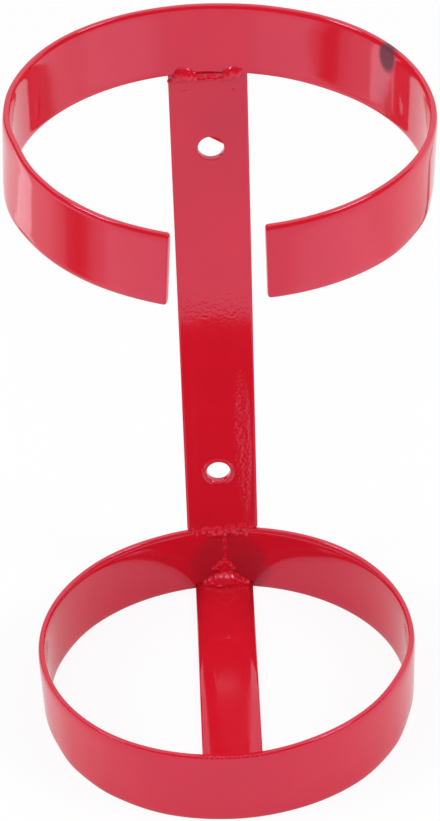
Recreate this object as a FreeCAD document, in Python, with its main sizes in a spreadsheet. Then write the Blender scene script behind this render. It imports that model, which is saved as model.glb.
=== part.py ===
"""Welded flat-bar wall bracket for a fire extinguisher.

An open collar, an upright back plate with two screw holes, a closed ring and a
strap for the foot of the extinguisher, all of flat steel bar, joined by welds.
Lengths are in millimetres and angles in degrees. The origin lies between the two
screw holes, on the rear face of the back plate. Z is up and Y points into the wall.
"""
import FreeCAD
import Part
import Sketcher

import os

SIZES = (
    ("bar_width", 30.0, "width of the flat bar of the collar, the plate and the ring"),
    ("bar_thickness", 3.0, "thickness of that bar"),
    ("edge_bevel", 0.4, "bevel that breaks all long edges"),
    ("corner_radius", 1.3, "rounding of the cut corners of the bar"),
    ("plate_length", 220.0, "length of the back plate between ring and collar"),
    ("hole_diameter", 10.0, "screw holes"),
    ("hole_spacing", 156.0, "height between the two screw holes"),
    ("lower_hole_height", 29.9, "lower screw hole above the foot of the plate"),
    ("hole_stagger", 0.45, "each hole sits this far to its own side of the centre line"),
    ("ring_radius", 76.0, "outer radius of the closed lower ring"),
    ("ring_offset", -1.2, "axis of the ring to the side of the plate's centre line"),
    ("collar_offset", -1.4, "back of the collar to the side of the plate's centre line"),
    ("back_left_radius", 75.0, "outer radius of the collar's back left quarter"),
    ("back_right_radius", 85.0, "outer radius of the collar's back right quarter"),
    ("left_arm_radius", 92.0, "outer radius of the left arm, which is sprung open"),
    ("right_arm_radius", 77.0, "outer radius of the right arm"),
    ("left_arm_start", 82.0, "turn from the back at which the left arm begins"),
    ("right_arm_start", 87.0, "turn from the back at which the right arm begins"),
    ("left_arm_end", 159.1, "turn from the back at which the left arm ends"),
    ("right_arm_end", 171.6, "turn from the back at which the right arm ends"),
    ("left_end_slant", 3.6, "angle by which the left arm's end is cut out of square"),
    ("strap_width", 24.0, "width of the strap under the foot of the extinguisher"),
    ("strap_thickness", 3.0, "thickness of the strap"),
    ("strap_offset", -0.5, "middle of the strap to the side of the plate's centre line"),
    ("collar_weld_proud", 2.1, "how far the collar weld stands out of the plate"),
    ("collar_weld_rise", 3.7, "half the height of the collar weld's large drops"),
    ("plate_weld_proud", 2.0, "how far the weld on the ring stands out of the plate"),
    ("plate_weld_rise", 4.0, "half the height of the weld on the ring"),
    ("seam_weld_offset", 0.3, "weld of the ring's butt seam to the side of the plate's centre line"),
    ("seam_weld_width", 1.3, "half the width of that weld"),
    ("seam_weld_proud", 0.6, "how far that weld stands out of the ring"),
    ("rear_weld_reach", 4.0, "how far the rear strap weld reaches over the strap"),
    ("rear_weld_span", 9.6, "half the length of the rear strap weld"),
    ("front_weld_reach", 3.0, "how far the front strap weld reaches over the strap"),
    ("front_weld_span", 11.5, "half the length of the front strap weld"),
)

PLATE_FOOT = "(-Sizes.lower_hole_height - Sizes.hole_spacing / 2)"
PLATE_HEAD = f"({PLATE_FOOT} + Sizes.plate_length)"
RING_BOTTOM = f"({PLATE_FOOT} - Sizes.bar_width)"
EDGE = "min(Sizes.edge_bevel; 0.4 * Sizes.bar_thickness)"
SIZE_NAME = {"Fillet": "Radius", "Chamfer": "Size"}


def make_sheet(doc):
    """Write every driving dimension with its alias and its meaning."""
    sheet = doc.addObject("Spreadsheet::Sheet", "Sizes")
    for row, (alias, number, meaning) in enumerate(SIZES, start=1):
        sheet.set(f"A{row}", alias)
        sheet.set(f"B{row}", str(number))
        sheet.setAlias(f"B{row}", alias)
        sheet.set(f"C{row}", meaning)
    doc.recompute()
    return sheet


def make_body(doc, label, height):
    """Start a body whose own floor lies at the given height."""
    body = doc.addObject("PartDesign::Body", label)
    body.Label = label
    body.setExpression("Placement.Base.z", height)
    return body


def make_sketch(body, name, role):
    """Attach an empty sketch to one of the body's own planes."""
    sketch = body.newObject("Sketcher::SketchObject", name)
    plane = next(item for item in body.Origin.OriginFeatures if item.Role == role)
    sketch.AttachmentSupport = (plane, [""])
    sketch.MapMode = "FlatFace"
    return sketch


def add_polygon(sketch, points):
    """Draw a closed chain of straight lines, in order."""
    first = sketch.GeometryCount
    for start, end in zip(points, points[1:] + points[:1]):
        line = Part.LineSegment(FreeCAD.Vector(*start, 0), FreeCAD.Vector(*end, 0))
        sketch.addGeometry(line, False)
    count = len(points)
    for index in range(count):
        following = first + (index + 1) % count
        sketch.addConstraint(Sketcher.Constraint("Coincident", first + index, 2, following, 1))
    return first


def bind(sketch, name, constraint, expression):
    """Add a constraint, name it and let an expression drive it."""
    index = sketch.addConstraint(constraint)
    sketch.renameConstraint(index, name)
    sketch.setExpression(f"Constraints.{name}", expression)


def number(owner, expression):
    """Give the present value of an expression."""
    return float(owner.evalExpression(expression))


def turn_plane(sketch, x, y, angle):
    """Stand an upright sketch at a plan position, turned about the vertical."""
    turn = FreeCAD.Rotation(FreeCAD.Vector(0, 1, 0), 1)
    sketch.AttachmentOffset = FreeCAD.Placement(FreeCAD.Vector(), turn)
    sketch.setExpression("AttachmentOffset.Base.x", x)
    sketch.setExpression("AttachmentOffset.Base.z", f"-({y})")
    sketch.setExpression("AttachmentOffset.Rotation.Angle", angle)


def add_rolled_bar(body, name, centre, radius, start, turn, clockwise=False):
    """Revolve the upright bar section about the centre of one bend."""
    sketch = make_sketch(body, f"{name}_section", "XZ_Plane")
    turn_plane(sketch, centre[0], centre[1], start)
    outer = number(sketch, radius)
    inner = outer - number(sketch, "Sizes.bar_thickness")
    top = number(sketch, "Sizes.bar_width")
    line = add_polygon(sketch, [(inner, 0), (outer, 0), (outer, top), (inner, top)])
    sketch.addConstraint(Sketcher.Constraint("Horizontal", line))
    sketch.addConstraint(Sketcher.Constraint("Vertical", line + 1))
    sketch.addConstraint(Sketcher.Constraint("Horizontal", line + 2))
    sketch.addConstraint(Sketcher.Constraint("Vertical", line + 3))
    sketch.addConstraint(Sketcher.Constraint("PointOnObject", line, 1, -1))
    bind(sketch, "outer", Sketcher.Constraint("DistanceX", -1, 1, line, 2, outer), radius)
    thick = Sketcher.Constraint("DistanceX", line, 1, line, 2, outer - inner)
    bind(sketch, "thick", thick, "Sizes.bar_thickness")
    wide = Sketcher.Constraint("DistanceY", line + 1, 1, line + 1, 2, top)
    bind(sketch, "wide", wide, "Sizes.bar_width")
    bend = body.newObject("PartDesign::Revolution", name)
    bend.Profile = sketch
    bend.ReferenceAxis = (sketch, ["V_Axis"])
    bend.Reversed = clockwise
    bend.setExpression("Angle", turn)
    body.Document.recompute()
    return bend


def dress_edges(body, kind, name, feature, wanted, size):
    """Round or bevel the edges of a feature that pass a test: kind is Fillet or Chamfer."""
    edges = [f"Edge{i}" for i, edge in enumerate(feature.Shape.Edges, start=1) if wanted(edge)]
    dressed = body.newObject(f"PartDesign::{kind}", name)
    dressed.Base = (feature, edges)
    dressed.setExpression(SIZE_NAME[kind], size)
    body.Document.recompute()
    return dressed


def sharp_edges(shape):
    """Make a test that finds edges where two faces meet at a clear angle."""
    def normal_at(face, point):
        u, v = face.Surface.parameter(point)
        return face.normalAt(u, v)

    def is_sharp(edge):
        middle = edge.valueAt((edge.FirstParameter + edge.LastParameter) / 2)
        faces = [face for face in shape.Faces if any(edge.isSame(other) for other in face.Edges)]
        if len(faces) != 2:
            return False
        return abs(normal_at(faces[0], middle).dot(normal_at(faces[1], middle))) < 0.9

    return is_sharp


def make_collar(doc):
    """Open collar: four rolled quarters that meet tangentially."""
    body = make_body(doc, "upper_collar", PLATE_HEAD)
    sides = {}
    for side, sign in (("left", -1), ("right", 1)):
        back = f"Sizes.back_{side}_radius"
        arm = f"Sizes.{side}_arm_radius"
        start = f"Sizes.{side}_arm_start"
        end = f"Sizes.{side}_arm_end"
        back_centre = ("Sizes.collar_offset", f"-{back}")
        arm_centre = (
            f"Sizes.collar_offset + {sign} * ({back} - {arm}) * sin({start})",
            f"-{back} + ({back} - {arm}) * cos({start})",
        )
        right = side == "right"
        add_rolled_bar(body, f"{side}_back", back_centre, back, "90", start, right)
        at_start = f"90 - {sign} * {start}"
        bend = add_rolled_bar(body, f"{side}_arm", arm_centre, arm, at_start, f"{end} - {start}", right)
        sides[side] = (arm_centre, arm, end)
    cut = cut_slanted_end(body, *sides["left"])
    top = number(body, "Sizes.bar_width")
    thick = number(body, "Sizes.bar_thickness")

    def is_end_corner(edge):
        level = abs(edge.Vertexes[0].Z - edge.Vertexes[-1].Z) < 1e-6
        short = abs(edge.Length - thick) < 0.02 * thick
        outside = min(abs(edge.Vertexes[0].Z), abs(edge.Vertexes[0].Z - top)) < 1e-6
        return level and short and outside and edge.CenterOfMass.y < -thick * 4

    corners = dress_edges(body, "Fillet", "end_corners", cut, is_end_corner, "Sizes.corner_radius")
    dress_edges(body, "Chamfer", "broken_edges", corners, sharp_edges(corners.Shape), EDGE)
    return body


def cut_slanted_end(body, centre, radius, end):
    """Cut the end of the left arm out of square, shorter towards its lower edge."""
    reach = f"({radius} + Sizes.bar_thickness)"
    sketch = make_sketch(body, "left_end_cut", "XZ_Plane")
    x = f"{centre[0]} - {reach} * sin({end})"
    y = f"{centre[1]} + {reach} * cos({end})"
    turn_plane(sketch, x, y, f"180 + {end}")
    top = number(sketch, "Sizes.bar_width")
    slant = number(sketch, "tan(Sizes.left_end_slant)")
    wedge = [(-slant * top, 0), (top, 0), (top, top), (0, top)]
    line = add_polygon(sketch, wedge)
    sketch.addConstraint(Sketcher.Constraint("Horizontal", line))
    sketch.addConstraint(Sketcher.Constraint("Vertical", line + 1))
    sketch.addConstraint(Sketcher.Constraint("Horizontal", line + 2))
    sketch.addConstraint(Sketcher.Constraint("PointOnObject", line, 1, -1))
    sketch.addConstraint(Sketcher.Constraint("PointOnObject", line + 3, 1, -2))
    bind(sketch, "high", Sketcher.Constraint("DistanceY", line + 1, 1, line + 1, 2, top), "Sizes.bar_width")
    bind(sketch, "long", Sketcher.Constraint("DistanceX", line + 2, 2, line + 2, 1, top), "Sizes.bar_width")
    back = Sketcher.Constraint("DistanceX", line, 1, -1, 1, slant * top)
    bind(sketch, "back", back, "Sizes.bar_width * tan(Sizes.left_end_slant)")
    cut = body.newObject("PartDesign::Pocket", "slanted_end")
    cut.Profile = sketch
    cut.setExpression("Length", "Sizes.bar_thickness * 3")
    body.Document.recompute()
    return cut


def make_ring(doc):
    """Closed ring: the same bar rolled through a full turn."""
    body = make_body(doc, "lower_ring", RING_BOTTOM)
    centre = ("Sizes.ring_offset", "-Sizes.ring_radius")
    bend = add_rolled_bar(body, "ring_bend", centre, "Sizes.ring_radius", "90", "360")
    dress_edges(body, "Chamfer", "broken_edges", bend, sharp_edges(bend.Shape), EDGE)
    return body


def make_plate(doc):
    """Back plate: straight bar with two screw holes."""
    body = make_body(doc, "back_plate", PLATE_FOOT)
    half = number(body, "Sizes.bar_width / 2")
    top = number(body, "Sizes.plate_length")
    sketch = make_sketch(body, "plate_outline", "XZ_Plane")
    line = add_polygon(sketch, [(-half, 0), (half, 0), (half, top), (-half, top)])
    sketch.addConstraint(Sketcher.Constraint("Horizontal", line))
    sketch.addConstraint(Sketcher.Constraint("Vertical", line + 1))
    sketch.addConstraint(Sketcher.Constraint("Horizontal", line + 2))
    sketch.addConstraint(Sketcher.Constraint("Vertical", line + 3))
    sketch.addConstraint(Sketcher.Constraint("Symmetric", line, 1, line, 2, -1, 1))
    bind(sketch, "wide", Sketcher.Constraint("DistanceX", line, 1, line, 2, 2 * half), "Sizes.bar_width")
    long = Sketcher.Constraint("DistanceY", line + 1, 1, line + 1, 2, top)
    bind(sketch, "long", long, "Sizes.plate_length")
    pad = body.newObject("PartDesign::Pad", "plate_bar")
    pad.Profile = sketch
    pad.setExpression("Length", "Sizes.bar_thickness")
    body.Document.recompute()

    def is_foot_corner(edge):
        level = abs(edge.Vertexes[0].Z) < 1e-6 and abs(edge.Vertexes[-1].Z) < 1e-6
        return level and abs(edge.Vertexes[0].X - edge.Vertexes[-1].X) < 1e-6

    corners = dress_edges(body, "Fillet", "foot_corners", pad, is_foot_corner, "Sizes.corner_radius")
    holes = make_sketch(body, "hole_centres", "XZ_Plane")
    heights = (
        ("lower", "Sizes.lower_hole_height", "-1"),
        ("upper", "Sizes.lower_hole_height + Sizes.hole_spacing", "1"),
    )
    for name, height, sign in heights:
        stagger = number(holes, f"{sign} * Sizes.hole_stagger")
        centre = FreeCAD.Vector(stagger, number(holes, height), 0)
        radius = number(holes, "Sizes.hole_diameter / 2")
        circle = holes.addGeometry(Part.Circle(centre, FreeCAD.Vector(0, 0, 1), radius), False)
        bore = Sketcher.Constraint("Diameter", circle, 2 * radius)
        bind(holes, f"{name}_bore", bore, "Sizes.hole_diameter")
        rise = Sketcher.Constraint("DistanceY", -1, 1, circle, 3, centre.y)
        bind(holes, f"{name}_height", rise, height)
        shift = Sketcher.Constraint("DistanceX", -1, 1, circle, 3, centre.x)
        bind(holes, f"{name}_shift", shift, f"{sign} * Sizes.hole_stagger")
    bores = body.newObject("PartDesign::Pocket", "screw_holes")
    bores.Profile = holes
    bores.Type = "ThroughAll"
    bores.Reversed = True
    body.Document.recompute()
    dress_edges(body, "Chamfer", "broken_edges", bores, sharp_edges(bores.Shape), EDGE)
    return body


def make_strap(doc):
    """Strap across the ring, with both ends cut to the ring's inner wall."""
    body = make_body(doc, "bottom_strap", RING_BOTTOM)
    sketch = make_sketch(body, "strap_outline", "XY_Plane")
    inner = number(sketch, "Sizes.ring_radius - Sizes.bar_thickness")
    middle = FreeCAD.Vector(number(sketch, "Sizes.ring_offset"), number(sketch, "-Sizes.ring_radius"), 0)
    left = number(sketch, "Sizes.strap_offset - Sizes.strap_width / 2")
    right = number(sketch, "Sizes.strap_offset + Sizes.strap_width / 2")
    rise_left = (inner ** 2 - (left - middle.x) ** 2) ** 0.5
    rise_right = (inner ** 2 - (right - middle.x) ** 2) ** 0.5
    back_left = FreeCAD.Vector(left, middle.y + rise_left, 0)
    back_right = FreeCAD.Vector(right, middle.y + rise_right, 0)
    front_left = FreeCAD.Vector(left, middle.y - rise_left, 0)
    front_right = FreeCAD.Vector(right, middle.y - rise_right, 0)
    back_middle = FreeCAD.Vector(middle.x, middle.y + inner, 0)
    front_middle = FreeCAD.Vector(middle.x, middle.y - inner, 0)
    sketch.addGeometry(Part.Arc(back_right, back_middle, back_left), False)
    sketch.addGeometry(Part.LineSegment(back_left, front_left), False)
    sketch.addGeometry(Part.Arc(front_left, front_middle, front_right), False)
    sketch.addGeometry(Part.LineSegment(front_right, back_right), False)
    sketch.addConstraint(Sketcher.Constraint("Coincident", 0, 2, 1, 1))
    sketch.addConstraint(Sketcher.Constraint("Coincident", 1, 2, 2, 1))
    sketch.addConstraint(Sketcher.Constraint("Coincident", 2, 2, 3, 1))
    sketch.addConstraint(Sketcher.Constraint("Coincident", 3, 2, 0, 1))
    sketch.addConstraint(Sketcher.Constraint("Coincident", 0, 3, 2, 3))
    sketch.addConstraint(Sketcher.Constraint("Equal", 0, 2))
    sketch.addConstraint(Sketcher.Constraint("Vertical", 1))
    sketch.addConstraint(Sketcher.Constraint("Vertical", 3))
    bind(sketch, "inner", Sketcher.Constraint("Radius", 0, inner), "Sizes.ring_radius - Sizes.bar_thickness")
    bind(sketch, "axis_x", Sketcher.Constraint("DistanceX", -1, 1, 0, 3, middle.x), "Sizes.ring_offset")
    bind(sketch, "axis_y", Sketcher.Constraint("DistanceY", -1, 1, 0, 3, middle.y), "-Sizes.ring_radius")
    side = Sketcher.Constraint("DistanceX", -1, 1, 1, 1, left)
    bind(sketch, "side", side, "Sizes.strap_offset - Sizes.strap_width / 2")
    wide = Sketcher.Constraint("DistanceX", 1, 1, 3, 2, right - left)
    bind(sketch, "wide", wide, "Sizes.strap_width")
    pad = body.newObject("PartDesign::Pad", "strap_bar")
    pad.Profile = sketch
    pad.setExpression("Length", "Sizes.strap_thickness")
    body.Document.recompute()

    def is_long_edge(edge):
        return edge.Length > inner and abs(edge.Vertexes[0].Z - edge.Vertexes[-1].Z) < 1e-6

    strap_edge = "min(Sizes.edge_bevel; 0.4 * Sizes.strap_thickness)"
    dress_edges(body, "Chamfer", "broken_edges", pad, is_long_edge, strap_edge)
    return body


def add_sphere(doc, name, centre, radius):
    """Make one round drop of weld metal."""
    drop = doc.addObject("Part::Sphere", name)
    for axis, expression in zip("xyz", centre):
        drop.setExpression(f"Placement.Base.{axis}", expression)
    drop.setExpression("Radius", radius)
    return drop


def add_box(doc, name, corner, size):
    """Make the block of space that a weld may fill."""
    box = doc.addObject("Part::Box", name)
    for axis, expression in zip("xyz", corner):
        box.setExpression(f"Placement.Base.{axis}", expression)
    for side, expression in zip(("Length", "Width", "Height"), size):
        box.setExpression(side, expression)
    return box


def trim_weld(doc, label, metal, space, neighbours):
    """Fuse the drops, keep what lies in the open and cut away the bars they join."""
    bead = doc.addObject("Part::MultiFuse", f"{label}_bead")
    bead.Shapes = metal
    kept = doc.addObject("Part::Common", f"{label}_kept")
    kept.Base = bead
    kept.Tool = space
    for index, neighbour in enumerate(neighbours, start=1):
        trimmed = doc.addObject("Part::Cut", f"{label}_trimmed_{index}")
        trimmed.Base = kept
        trimmed.Tool = neighbour
        kept = trimmed
    kept.Label = label
    doc.recompute()
    return kept


def make_wall_weld(doc, label, height, table, neighbours):
    """Weld over the butt joint of the back plate and a ring, as a row of flat drops."""
    drops = []
    for index, (across, lift, wide, out) in enumerate(table, start=1):
        half = f"({wide} * Sizes.{label}_rise)"
        proud = f"({out} * Sizes.{label}_proud)"
        radius = f"(({half}^2 + {proud}^2) / (2 * {proud}))"
        centre = (
            f"{across} * Sizes.bar_width",
            f"-Sizes.bar_thickness - {proud} + {radius}",
            f"{height} + {lift} * Sizes.{label}_rise",
        )
        drops.append(add_sphere(doc, f"{label}_drop_{index}", centre, radius))
    space = add_box(
        doc,
        f"{label}_space",
        (
            "-Sizes.bar_width",
            f"-Sizes.bar_thickness - 2 * Sizes.{label}_proud",
            f"{height} - 3 * Sizes.{label}_rise",
        ),
        (
            "2 * Sizes.bar_width",
            f"2 * Sizes.{label}_proud + {EDGE} / 2",
            f"6 * Sizes.{label}_rise",
        ),
    )
    return trim_weld(doc, label, drops, space, neighbours)


def make_corner_weld(doc, label, wall, inward, table, neighbours):
    """Weld in the corner of strap and ring wall, as a row of round drops."""
    strap_top = f"({RING_BOTTOM} + Sizes.strap_thickness)"
    inner = "(Sizes.ring_radius - Sizes.bar_thickness)"
    drops = []
    for index, (across, out, lift, size) in enumerate(table, start=1):
        x = f"(Sizes.strap_offset + {across} * Sizes.{label}_span)"
        sag = f"({inner} - sqrt({inner}^2 - ({x} - Sizes.ring_offset)^2))"
        centre = (
            x,
            f"{wall} + {inward} * ({sag} + {out} * Sizes.{label}_reach)",
            f"{strap_top} + {lift} * Sizes.{label}_reach",
        )
        radius = f"{size} * Sizes.{label}_reach"
        drops.append(add_sphere(doc, f"{label}_drop_{index}", centre, radius))
    start = wall if inward > 0 else f"{wall} - 3 * Sizes.{label}_reach"
    space = add_box(
        doc,
        f"{label}_space",
        ("-Sizes.bar_width", start, strap_top),
        ("2 * Sizes.bar_width", f"3 * Sizes.{label}_reach", "Sizes.bar_width"),
    )
    return trim_weld(doc, label, drops, space, neighbours)


def make_seam_weld(doc, neighbours):
    """Upright weld along the butt seam that closes the ring, inside its back."""
    label = "ring_seam_weld"
    radius = "((Sizes.seam_weld_width^2 + Sizes.seam_weld_proud^2) / (2 * Sizes.seam_weld_proud))"
    seam = doc.addObject("Part::Cylinder", f"{label}_run")
    seam.setExpression("Radius", radius)
    seam.setExpression("Height", "Sizes.bar_width - Sizes.strap_thickness - 2 * Sizes.seam_weld_proud")
    seam.setExpression("Placement.Base.x", "Sizes.seam_weld_offset")
    seam.setExpression("Placement.Base.y", f"-Sizes.bar_thickness - Sizes.seam_weld_proud + {radius}")
    seam.setExpression("Placement.Base.z", f"{RING_BOTTOM} + Sizes.strap_thickness + Sizes.seam_weld_proud")
    kept = seam
    for index, neighbour in enumerate(neighbours, start=1):
        trimmed = doc.addObject("Part::Cut", f"{label}_trimmed_{index}")
        trimmed.Base = kept
        trimmed.Tool = neighbour
        kept = trimmed
    kept.Label = label
    doc.recompute()
    return kept


def make_welds(doc, collar, plate, ring, strap):
    """All welds of the bracket, each trimmed to the pieces that it joins."""
    collar_table = (
        (-0.33, 0.25, 0.85, 0.85),
        (-0.23, 0.30, 1.00, 1.00),
        (-0.14, 0.00, 0.60, 0.45),
        (-0.05, -0.10, 0.55, 0.40),
        (0.04, -0.05, 0.50, 0.35),
        (0.13, -0.10, 0.55, 0.40),
        (0.22, -0.10, 0.60, 0.50),
        (0.33, -0.05, 0.95, 0.90),
        (0.41, -0.25, 0.80, 0.80),
    )
    plate_table = (
        (-0.36, 0.10, 0.80, 0.75),
        (-0.25, 0.15, 0.95, 1.00),
        (-0.13, 0.00, 0.90, 0.80),
        (-0.01, 0.15, 1.00, 0.95),
        (0.11, 0.00, 0.90, 0.85),
        (0.22, 0.10, 0.95, 1.00),
        (0.33, -0.05, 0.80, 0.75),
    )
    rear_table = (
        (-0.66, 0.05, 0.30, 0.95),
        (-0.36, 0.10, 0.40, 1.10),
        (-0.08, 0.15, 0.45, 1.20),
        (0.22, 0.10, 0.40, 1.10),
        (0.44, 0.05, 0.35, 1.05),
        (0.68, 0.05, 0.25, 0.95),
        (-0.30, -0.05, 1.75, 0.80),
        (0.02, 0.00, 1.85, 0.90),
        (-0.05, -0.10, 2.35, 0.80),
    )
    front_table = (
        (-0.82, 0.0, 0.2, 0.85),
        (-0.50, 0.0, 0.2, 1.00),
        (-0.15, 0.0, 0.2, 1.10),
        (0.20, 0.0, 0.2, 1.00),
        (0.52, 0.0, 0.2, 1.05),
        (0.84, 0.0, 0.2, 0.80),
    )
    rear_wall = "-Sizes.bar_thickness"
    front_wall = "(-2 * Sizes.ring_radius + Sizes.bar_thickness)"
    collar_weld = make_wall_weld(doc, "collar_weld", PLATE_HEAD, collar_table, (plate, collar))
    plate_weld = make_wall_weld(doc, "plate_weld", PLATE_FOOT, plate_table, (plate, ring))
    rear_weld = make_corner_weld(doc, "rear_weld", rear_wall, -1, rear_table, (strap, ring))
    front_weld = make_corner_weld(doc, "front_weld", front_wall, 1, front_table, (strap, ring))
    seam_weld = make_seam_weld(doc, (ring, plate_weld, rear_weld))
    return [collar_weld, plate_weld, seam_weld, rear_weld, front_weld]


def main():
    """Build the document, check every object and write one file for each piece."""
    doc = FreeCAD.newDocument("extinguisher_bracket")
    make_sheet(doc)
    collar = make_collar(doc)
    plate = make_plate(doc)
    ring = make_ring(doc)
    strap = make_strap(doc)
    pieces = [collar, plate, ring, strap] + make_welds(doc, collar, plate, ring, strap)
    doc.recompute()
    for item in doc.Objects:
        if "Invalid" in item.State or "Error" in item.State:
            raise RuntimeError(f"{item.Name} did not recompute: {item.State}")
    for piece in pieces:
        if piece.Shape.isNull() or not piece.Shape.isValid():
            raise RuntimeError(f"{piece.Label} has no valid shape")
    os.makedirs("parts", exist_ok=True)
    for piece in pieces:
        piece.Shape.exportStep(f"parts/{piece.Label}.step")
        print(piece.Label, len(piece.Shape.Solids), round(piece.Shape.Volume, 1))


main()
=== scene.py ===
"""Looks of a welded wall bracket for a fire extinguisher.

The bracket is made of flat steel bar: an open collar, an upright back plate with two
screw holes, a closed ring and a strap across the ring's underside. It is welded
together and painted in gloss red. All lengths are in metres, +Z is up, +Y points into
the wall and the origin lies between the two screw holes.
"""

import math

import bmesh
import bpy
from bpy.props import FloatProperty, FloatVectorProperty, PointerProperty
from mathutils import Matrix, Vector, noise


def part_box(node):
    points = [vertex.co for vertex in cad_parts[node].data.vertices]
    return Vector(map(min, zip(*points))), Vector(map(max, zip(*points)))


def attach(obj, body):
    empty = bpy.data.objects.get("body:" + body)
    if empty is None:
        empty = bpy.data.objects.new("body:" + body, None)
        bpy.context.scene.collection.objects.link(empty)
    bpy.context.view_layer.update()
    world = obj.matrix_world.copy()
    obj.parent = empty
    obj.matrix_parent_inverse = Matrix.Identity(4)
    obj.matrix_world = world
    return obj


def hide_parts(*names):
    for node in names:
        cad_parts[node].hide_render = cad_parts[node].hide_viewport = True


bl_info = {
    "name": "Extinguisher Bracket",
    "version": (1, 0, 0),
    "blender": (4, 5, 0),
    "location": "View3D > Sidebar > Bracket",
    "description": "Builds a painted, welded flat-bar bracket and its studio",
    "category": "Object",
}

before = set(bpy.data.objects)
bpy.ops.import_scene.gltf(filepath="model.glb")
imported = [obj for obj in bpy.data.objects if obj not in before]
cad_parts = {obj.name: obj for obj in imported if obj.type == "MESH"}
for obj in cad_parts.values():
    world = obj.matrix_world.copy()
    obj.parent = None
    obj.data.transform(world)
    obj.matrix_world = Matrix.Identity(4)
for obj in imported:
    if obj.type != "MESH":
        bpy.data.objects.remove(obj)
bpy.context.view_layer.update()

MM = 0.001
COLLAR_LOW, COLLAR_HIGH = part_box("upper_collar")
PLATE_LOW, PLATE_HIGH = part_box("back_plate")
RING_LOW, RING_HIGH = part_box("lower_ring")
STRAP_LOW, STRAP_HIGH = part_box("bottom_strap")
BAR_THICKNESS = PLATE_HIGH.y - PLATE_LOW.y
RING_RADIUS = (RING_HIGH.x - RING_LOW.x) / 2
RING_AXIS = (RING_HIGH + RING_LOW) / 2
PLATE_FRONT = PLATE_LOW.y
FLOOR_LEVEL = RING_LOW.z
BODY = "root"

RING_STEPS = 240
STEP_TURN = 2 * math.pi / RING_STEPS
HOLE_STEPS = 96
UP = Vector((0, 0, 1))
MERGE = 0.5e-6

# One corner of a rolled bar's section, in millimetres: in from the edge, down from the face
CROWN_REACH = 7.0
CROWN = (
    (CROWN_REACH, 0.0), (5.0, 0.0), (3.6, 0.012), (2.6, 0.04), (1.9, 0.09), (1.4, 0.16),
    (1.0, 0.245), (0.65, 0.35), (0.35, 0.48), (0.13, 0.64), (0.02, 0.82), (0.0, 1.0),
)
# The same for the plate, whose faces stay flat nearly up to its edges
PLATE_CROWN = (
    (CROWN_REACH, 0.0), (0.9, 0.0), (0.72, 0.015), (0.56, 0.045), (0.42, 0.085), (0.3, 0.135),
    (0.2, 0.195), (0.11, 0.27), (0.04, 0.36), (0.01, 0.45), (0.0, 0.55), (0.0, 1.0),
)
# The same for the strap, which is rounded further in
STRAP_CROWN = (
    (CROWN_REACH, 0.0), (5.2, 0.012), (3.5, 0.042), (2.6, 0.068), (1.8, 0.1), (1.3, 0.13),
    (0.8, 0.19), (0.4, 0.29), (0.15, 0.42), (0.03, 0.56), (0.0, 0.7), (0.0, 1.0),
)
# How far a bar leans outwards at a plan angle in degrees, in millimetres. 0 is right, 90 the wall
RING_TOP_LEAN = (
    (0, 0.1), (45, 1.0), (80, 0.0), (100, 0.0), (112, -0.4), (135, -0.2), (180, -0.3), (225, 0.0),
    (270, -1.1), (300, -2.0), (330, -1.5), (360, 0.1),
)
RING_FOOT_LEAN = (
    (0, -0.6), (30, 0.0), (135, 0.0), (160, -0.8), (180, -1.5), (200, -1.5), (215, -0.4),
    (232, 0.5), (250, 1.1), (270, 0.9), (290, 0.6), (310, 0.5), (330, -0.4), (345, -1.2), (360, -0.6),
)
COLLAR_TOP_LEAN = (
    (0, 0.2), (45, 1.3), (72, 0.4), (84, 0.0), (96, 0.0), (135, 0.7), (165, 0.2), (180, -0.2),
    (199, -1.7), (215, -1.1), (228, -0.6), (245, -0.1), (270, 0.0), (315, -0.5), (360, 0.2),
)
COLLAR_FOOT_LEAN = (
    (0, -1.5), (15, -1.4), (45, -1.1), (75, 0.0), (165, 0.1), (180, 1.1), (195, 1.5), (215, 0.8),
    (235, 0.8), (255, 0.5), (270, 0.5), (315, 1.0), (330, 0.0), (345, -1.5), (360, -1.5),
)

# Weld beads. Each drop: place from the joint, then half its width, depth and height, in millimetres
COLLAR_DROPS = (
    (-9.4, 0.0, 0.8, 3.5, 2.2, 3.5), (-11.8, 0.0, -0.7, 2.0, 1.5, 2.3), (-7.6, 0.0, 0.2, 2.6, 1.9, 3.1),
    (-5.2, 0.0, -0.8, 1.7, 1.3, 2.2), (-14.2, 0.0, -2.6, 1.2, 0.8, 1.0),
    (-3.0, 0.0, -2.3, 1.7, 0.8, 1.1), (-1.0, 0.0, -2.5, 1.6, 0.7, 1.0), (1.2, 0.0, -2.1, 1.7, 0.8, 1.1),
    (3.4, 0.0, -2.4, 1.6, 0.7, 1.0), (5.6, 0.0, -2.1, 1.8, 0.9, 1.3), (-2.0, 0.0, -1.0, 1.5, 0.5, 0.7),
    (2.0, 0.0, -0.8, 1.8, 0.5, 0.7), (8.4, 0.0, 0.0, 2.3, 1.8, 3.1), (11.0, 0.0, 1.1, 2.9, 2.1, 3.1),
    (13.3, 0.0, 1.9, 1.8, 1.6, 2.2), (-9.6, 0.0, -7.5, 0.45, 0.3, 0.45),
    (-8.4, 0.0, -7.1, 0.4, 0.25, 0.4), (10.2, 0.0, -7.4, 0.45, 0.3, 0.6),
)
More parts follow.
